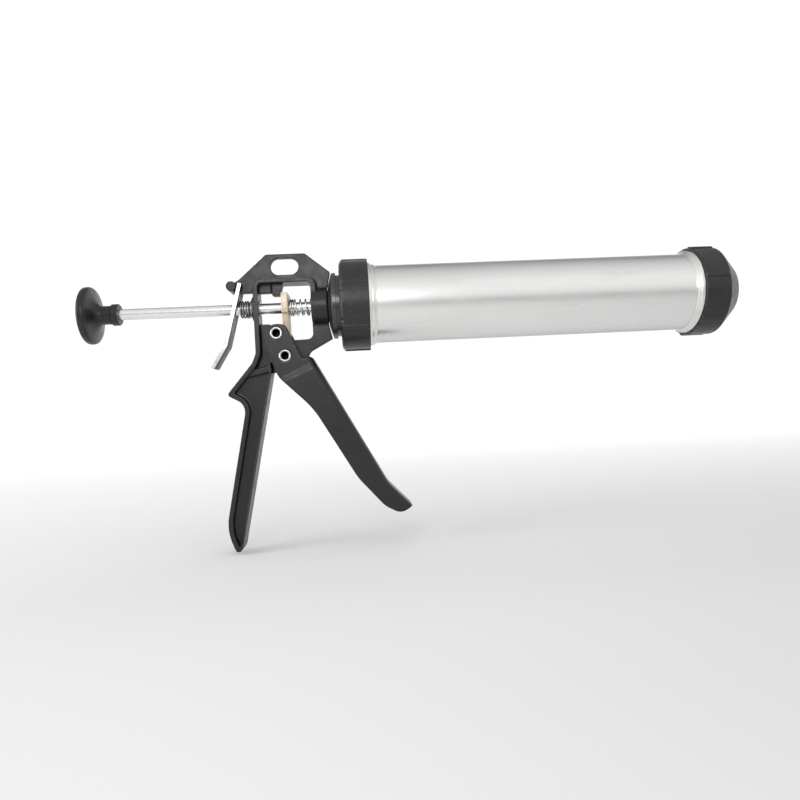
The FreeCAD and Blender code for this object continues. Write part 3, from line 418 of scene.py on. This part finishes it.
def coil_mesh(name, start, end, radius, wire, angles, places):
    """A round wire wound about X through (turn, place) pairs; places run from 0 at start to 1 at end."""
    steps_per_turn, around = 40, 12
    low, high = start + wire / 2, end - wire / 2
    total = angles[-1]
    count = int(total * steps_per_turn)
    rows = []
    for step in range(count + 1):
        turn = total * step / count
        index = max(i for i, mark in enumerate(angles) if mark <= turn)
        index = min(index, len(angles) - 2)
        share = (turn - angles[index]) / (angles[index + 1] - angles[index])
        place = places[index] + (places[index + 1] - places[index]) * share
        angle = 2 * math.pi * turn
        centre = Vector((low + (high - low) * place, radius * math.cos(angle), radius * math.sin(angle)))
        outward = Vector((0, math.cos(angle), math.sin(angle)))
        row = []
        for k in range(around):
            turn_around = 2 * math.pi * k / around
            along = Vector((1, 0, 0)) * math.cos(turn_around)
            row.append(centre + (along + outward * math.sin(turn_around)) * wire / 2)
        rows.append(row)
    return grid_mesh(name, rows, False, 60)


# ---------------------------------------------------------------- pieces


def frame_piece():
    mesh = softened("frame_casting", 0.5 * MM, 3, 0.5)
    new_piece("cast_frame", mesh, "frame_casting")


def trigger_piece():
    """The pressed trigger: flat ears, a joggle below them, and a wider channel for the fingers."""
    joggle_width, joggle_length, half_web = 0.8 * MM, 5.0 * MM, 9 * MM
    mesh = softened("trigger", 0.5 * MM, 3)
    low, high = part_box("trigger_pivot_rivet")
    pivot = Vector(((low.x + high.x) / 2, 0, (low.z + high.z) / 2))
    crease_point = pivot + Vector((4.5, 0, -10.5)) * MM
    crease_normal = Vector((0.40, 0, -0.917))
    for vertex in mesh.vertices:
        depth = (vertex.co - crease_point).dot(crease_normal)
        share = min(max(depth / joggle_length, 0), 1)
        share = share * share * (3 - 2 * share)
        outward = min(abs(vertex.co.y) / half_web, 1)
        vertex.co.y += math.copysign(joggle_width * share * outward, vertex.co.y)
    new_piece("trigger_pressing", mesh, "trigger")


def rivet_piece(name, node):
    """A rivet with a rolled lip round a blind bore on each side."""
    lip_wall, head_height, shank_step, under_step = 1.6 * MM, 1.0 * MM, 0.5 * MM, 0.1 * MM
    bore_depth, cone_depth, cone_step = 9.0 * MM, 0.3 * MM, 0.4 * MM
    low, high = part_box(node)
    x, z = (low.x + high.x) / 2, (low.z + high.z) / 2
    head = (high.x - low.x) / 2
    half = (high.y - low.y) / 2
    bore = head - lip_wall
    lip = lip_wall / 2
    outside = arc_points(half - lip, bore + lip, lip, 90, -90, 12)
    shank = head - shank_step
    under = half - head_height
    under_edge = head - under_step
    floor = half - bore_depth
    end = floor - cone_depth
    end_radius = bore - cone_step
    profile = [(-under, shank), (under, shank), (under, under_edge), *outside, (floor, bore),
               (end, end_radius), (end, ON_AXIS), (-end, ON_AXIS), (-end, end_radius), (-floor, bore)]
    profile += [(-y, r) for y, r in reversed(outside)] + [(-under, under_edge)]
    mesh = lathe(name, profile, 64)
    mesh.transform(Matrix.Translation((x, 0, z)) @ Matrix.Rotation(math.pi / 2, 4, "Z"))
    new_piece(name, mesh, node)


def thread_depth(x, angle, pitch, depth):
    """A rounded thread: how far the surface sinks below its crest."""
    phase = (x / pitch - angle / (2 * math.pi)) % 1.0
    return depth * (0.5 - 0.5 * math.cos(2 * math.pi * phase)) ** 2


def collar_piece(name, node, ends, radii, flare, thread_pitch, thread_height):
    """A thread collar round the tube: a smooth flare at its open end, then the thread."""
    back, front = ends
    inner, outer = radii
    flare_start, flare_end = flare
    thin_edge, seat_gap, root_wall, smooth_below = 0.25 * MM, 0.02 * MM, 0.1 * MM, 0.3 * MM
    count = 60
    inside = inner + seat_gap
    places = [back + (front - back) * step / count for step in range(count + 1)]

    def radius_at(x):
        share = min(max((x - flare_start) / (flare_end - flare_start), 0), 1)
        return inner + thin_edge + (outer - inner - thin_edge) * share

    def cut(x, radius, angle):
        if radius < inner + smooth_below:
            return radius
        return max(radius - thread_depth(x, angle, thread_pitch, thread_height), inner + root_wall)

    profile = [(x, radius_at(x)) for x in places] + [(front, inside), (back, inside)]
    new_piece(name, lathe(name, profile, 128, cut, 60), node)


def barrel_collars():
    """The two thread collars, each with its cone towards the middle of the tube."""
    rear_cone, front_cone, front_overlap = 5.2 * MM, 3.4 * MM, 0.4 * MM
    tube_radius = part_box("barrel_tube")[1].z
    low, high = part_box("rear_thread_collar")
    radii = (tube_radius, high.z)
    collar_piece("rear_collar_threaded", "rear_thread_collar", ends=(low.x, high.x), radii=radii,
                 flare=(high.x, high.x - rear_cone), thread_pitch=3.0 * MM, thread_height=0.5 * MM)
    low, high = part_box("front_thread_collar")
    start = low.x - front_cone
    collar_piece("front_collar_threaded", "front_thread_collar", ends=(start, high.x), radii=radii,
                 flare=(start, low.x + front_overlap), thread_pitch=1.5 * MM, thread_height=0.25 * MM)


def knob_piece():
    """The pull knob: a trumpet from a narrow neck to a thin rim, with a collar at the rod."""
    low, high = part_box("pull_knob")
    rim, back, front = high.z, low.x, high.x
    neck, collar, rod_hole, cap_seat = 6.3 * MM, 7.3 * MM, 3.76 * MM, 13.0 * MM
    back_round, front_round, rim_drop, seat_depth = 1.6 * MM, 1.8 * MM, 2.6 * MM, 2.0 * MM
    flare_end = front - 10.5 * MM
    rim_front = back + 5.0 * MM
    flare_power, steps = 2.4, 14
    collar_back, step, ease, nose = front - 4.6 * MM, 0.3 * MM, 0.4 * MM, 0.6 * MM
    profile = [(back, cap_seat), (back, rim - rim_drop)]
    profile += arc_points(back + back_round, rim - back_round, back_round, 180, 90, 6)[1:]
    profile += arc_points(rim_front - front_round, rim - front_round, front_round, 90, 30, 5)
    for index in range(1, steps + 1):
        share = index / steps
        drop = (1 - share) ** flare_power
        profile.append((rim_front + (flare_end - rim_front) * share, neck + (rim - rim_drop - neck) * drop))
    profile += [(collar_back - step, neck), (collar_back, collar - step), (collar_back + ease, collar),
                (front - nose, collar), (front, collar - nose), (front, rod_hole),
                (back + seat_depth, rod_hole), (back + seat_depth, cap_seat)]
    new_piece("pull_knob_moulded", lathe("pull_knob_moulded", profile, 128), "pull_knob")


def knob_cap_piece():
    """The domed cap in the knob's end."""
    dome_height, steps = 2.2 * MM, 8
    low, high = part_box("knob_end_cap")
    edge = high.z
    profile = [(high.x, ON_AXIS), (low.x, ON_AXIS)]
    for step in range(1, steps + 1):
        turn = step / steps * math.pi / 2
        profile.append((low.x + dome_height * (1 - math.cos(turn)), edge * math.sin(turn)))
    profile.append((high.x, edge))
    new_piece("knob_cap_domed", lathe("knob_cap_domed", profile, 96), "knob_end_cap")


def springs():
    """Both springs, with two closed coils where each one rests."""
    low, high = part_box("drive_spring")
    wire = 1.3 * MM
    mesh = coil_mesh("drive_spring_coil", low.x, high.x, high.z - wire / 2, wire, (0, 2.2, 7.2, 8.0),
                     (0, 0.135, 0.95, 1))
    spring = new_piece("drive_spring_coil", mesh, "drive_spring")
    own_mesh(spring)
    low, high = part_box("release_spring")
    wire = 1.2 * MM
    mesh = coil_mesh("release_spring_coil", low.x, high.x, high.z - wire / 2, wire, (0, 0.8, 3.0, 3.8),
                     (0, 0.12, 0.88, 1))
    spring = new_piece("release_spring_coil", mesh, "release_spring")
    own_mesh(spring)


def lever_piece():
    new_piece("release_lever_bent", rounded_edges("release_lever", 0.35 * MM), "release_lever")


def plate_piece():
    new_piece("drive_plate_ground", rounded_edges("drive_plate", 0.3 * MM), "drive_plate")


def notched(mesh, edge_x, reach, spacing, first, depth):
    """Presses small tool notches into a ring nut's edge, evenly spaced round it; angles in degrees."""
    half_width, skirt_radius = 2.2, 24 * MM
    for vertex in mesh.vertices:
        radius = math.hypot(vertex.co.y, vertex.co.z)
        turn = math.degrees(math.atan2(vertex.co.z, -vertex.co.y)) - first
        away = abs((turn + spacing / 2) % spacing - spacing / 2)
        if abs(vertex.co.x - edge_x) > reach or radius < skirt_radius or away > half_width:
            continue
        share = (1 - (away / half_width) ** 4) * depth / radius
        vertex.co.y *= 1 - share
        vertex.co.z *= 1 - share


def cap_pieces():
    """The two ring nuts, with soft edges on their ribs and tool notches in their inner edges."""
    rear = softened("rear_cap", 0.4 * MM, 2)
    notched(rear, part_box("rear_cap")[0].x, reach=2.0 * MM, spacing=40, first=13, depth=0.8 * MM)
    new_piece("rear_cap_moulded", rear, "rear_cap")
    front = softened("front_cap", 0.4 * MM, 2)
    notched(front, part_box("front_cap")[0].x, reach=1.4 * MM, spacing=30, first=5, depth=0.5 * MM)
    new_piece("front_cap_moulded", front, "front_cap")


def carried_over():
    """Every CAD node that still shows gets its finish."""
    for node, piece in NODE.items():
        if not piece.hide_render:
            paint(piece, SLOT_OF[node])


# ---------------------------------------------------------------- stage


def area_light(name, place, target, size, radiance):
    """A softbox; its power follows from its size, so that it looks equally bright at any size."""
    light = bpy.data.lights.new(name, "AREA")
    light.shape = "RECTANGLE"
    light.size, light.size_y = size
    light.energy = radiance * math.pi * size[0] * size[1]
    holder = bpy.data.objects.new(name, light)
    holder.location = place
    holder.rotation_euler = (Vector(target) - Vector(place)).to_track_quat("-Z", "Y").to_euler()
    holder.visible_camera = False
    bpy.context.scene.collection.objects.link(holder)


def paper_floor():
    """A white paper floor, a little below the gun, with a painted glow that grows towards the back and
    painted shade towards the front.
    """
    side, gap = 12.0, 2 * MM
    level = cad_low.z - gap
    mesh = bpy.data.meshes.new("floor")
    mesh.from_pydata([(-side, -side, level), (side, -side, level), (side, side, level), (-side, side, level)],
                     [], [(0, 1, 2, 3)])
    floor = bpy.data.objects.new("floor", mesh)
    bpy.context.scene.collection.objects.link(floor)
    matt = Look("floor_paper", (0.80, 0.80, 0.80), 0.9, specular=0.1)
    split = matt.add("ShaderNodeSeparateXYZ")
    matt.link(matt.place, split.inputs["Vector"])
    # Painted shade: the floor darkens past the camera, towards the front.
    matt.tint(split.outputs["Y"], -0.5, -1.0, (0.46, 0.46, 0.46))
    # Painted light: the floor glows, more strongly towards the back.
    glow = matt.spread(split.outputs["Y"], -0.1, 0.9, 0.02, 0.45)
    matt.link(glow, matt.shader.inputs["Emission Strength"])
    matt.shader.inputs["Emission Color"].default_value = (1, 1, 1, 1)
    floor.data.materials.append(matt.material)


# How bright the tent is at each angle, in degrees, from the level at the camera's side over the top.
TENT_LEVELS = ((22, 0.86), (48, 0.86), (90, 0.62), (116, 0.45), (140, 0.28), (147, 1.0))


def tent_light():
    """The light tent: brightness by the angle round the X axis, from the camera's side over the top."""
    world = bpy.data.worlds.new("studio")
    bpy.context.scene.world = world
    world.use_nodes = True
    tree = world.node_tree

    def add(kind, **values):
        node = tree.nodes.new(kind)
        for key, value in values.items():
            setattr(node, key, value)
        return node

    split = add("ShaderNodeSeparateXYZ")
    tree.links.new(add("ShaderNodeTexCoord").outputs["Generated"], split.inputs["Vector"])
    front = add("ShaderNodeMath", operation="MULTIPLY")
    tree.links.new(split.outputs["Y"], front.inputs[0])
    front.inputs[1].default_value = -1
    rise = add("ShaderNodeMath", operation="ABSOLUTE")
    tree.links.new(split.outputs["Z"], rise.inputs[0])
    angle = add("ShaderNodeMath", operation="ARCTAN2")
    tree.links.new(rise.outputs["Value"], angle.inputs[0])
    tree.links.new(front.outputs["Value"], angle.inputs[1])
    turn = add("ShaderNodeMapRange")
    turn.inputs["From Max"].default_value = math.pi
    tree.links.new(angle.outputs["Value"], turn.inputs["Value"])
    ramp = add("ShaderNodeValToRGB")
    stops = ramp.color_ramp.elements
    stops[0].color = (0.72, 0.72, 0.72, 1)
    for degrees, level in TENT_LEVELS:
        stops.new(degrees / 180).color = (level, level, level, 1)
    tree.links.new(turn.outputs["Result"], ramp.inputs["Fac"])
    side = add("ShaderNodeMath", operation="ABSOLUTE")
    tree.links.new(split.outputs["X"], side.inputs[0])
    share = add("ShaderNodeMapRange", interpolation_type="SMOOTHSTEP")
    share.inputs["From Min"].default_value = 0.55
    share.inputs["From Max"].default_value = 0.92
    tree.links.new(side.outputs["Value"], share.inputs["Value"])
    mix = add("ShaderNodeMix", data_type="RGBA")
    tree.links.new(share.outputs["Result"], mix.inputs["Factor"])
    tree.links.new(ramp.outputs["Color"], mix.inputs["A"])
    mix.inputs["B"].default_value = (0.95, 0.95, 0.95, 1)
    tree.links.new(mix.outputs["Result"], tree.nodes["Background"].inputs["Color"])
    tree.nodes["Background"].inputs["Strength"].default_value = 1.05


def studio():
    paper_floor()
    tent_light()
    area_light("key", place=(-0.345, -0.46, 0.125), target=(-0.30, 0, 0.02), size=(0.15, 0.15), radiance=6.0)
    area_light("left", place=(-1.1, -0.30, 0.10), target=(-0.28, 0, 0), size=(0.45, 0.6), radiance=4.0)


def photo_camera():
    """The camera a little in front of the frame, level, looking square at the gun with a slight roll."""
    yaw, roll = math.radians(-3.55), math.radians(-2.85)
    focal_length, picture_width, sensor_width = 640, 800, 36
    place = Vector((-264.5, -444.0, -67.0)) * MM
    right = Vector((math.cos(yaw), math.sin(yaw), 0))
    forward = Vector((-math.sin(yaw), math.cos(yaw), 0))
    up = Vector((0, 0, 1))
    rolled_right = right * math.cos(roll) + up * math.sin(roll)
    rolled_up = up * math.cos(roll) - right * math.sin(roll)
    axes = Matrix((rolled_right, rolled_up, -forward)).transposed()
    data = bpy.data.cameras.new("camera")
    data.sensor_width = sensor_width
    data.lens = sensor_width * focal_length / picture_width
    data.clip_start = 0.01
    camera = bpy.data.objects.new("camera", data)
    camera.matrix_world = Matrix.Translation(place) @ axes.to_4x4()
    bpy.context.scene.collection.objects.link(camera)
    bpy.context.scene.camera = camera


photo_camera()
studio()
frame_piece()
trigger_piece()
rivet_piece("pivot_rivet_rolled", "trigger_pivot_rivet")
rivet_piece("pin_rivet_rolled", "drive_pin_rivet")
barrel_collars()
knob_piece()
knob_cap_piece()
springs()
lever_piece()
plate_piece()
cap_pieces()
carried_over()
bpy.context.scene.view_settings.view_transform = "Standard"
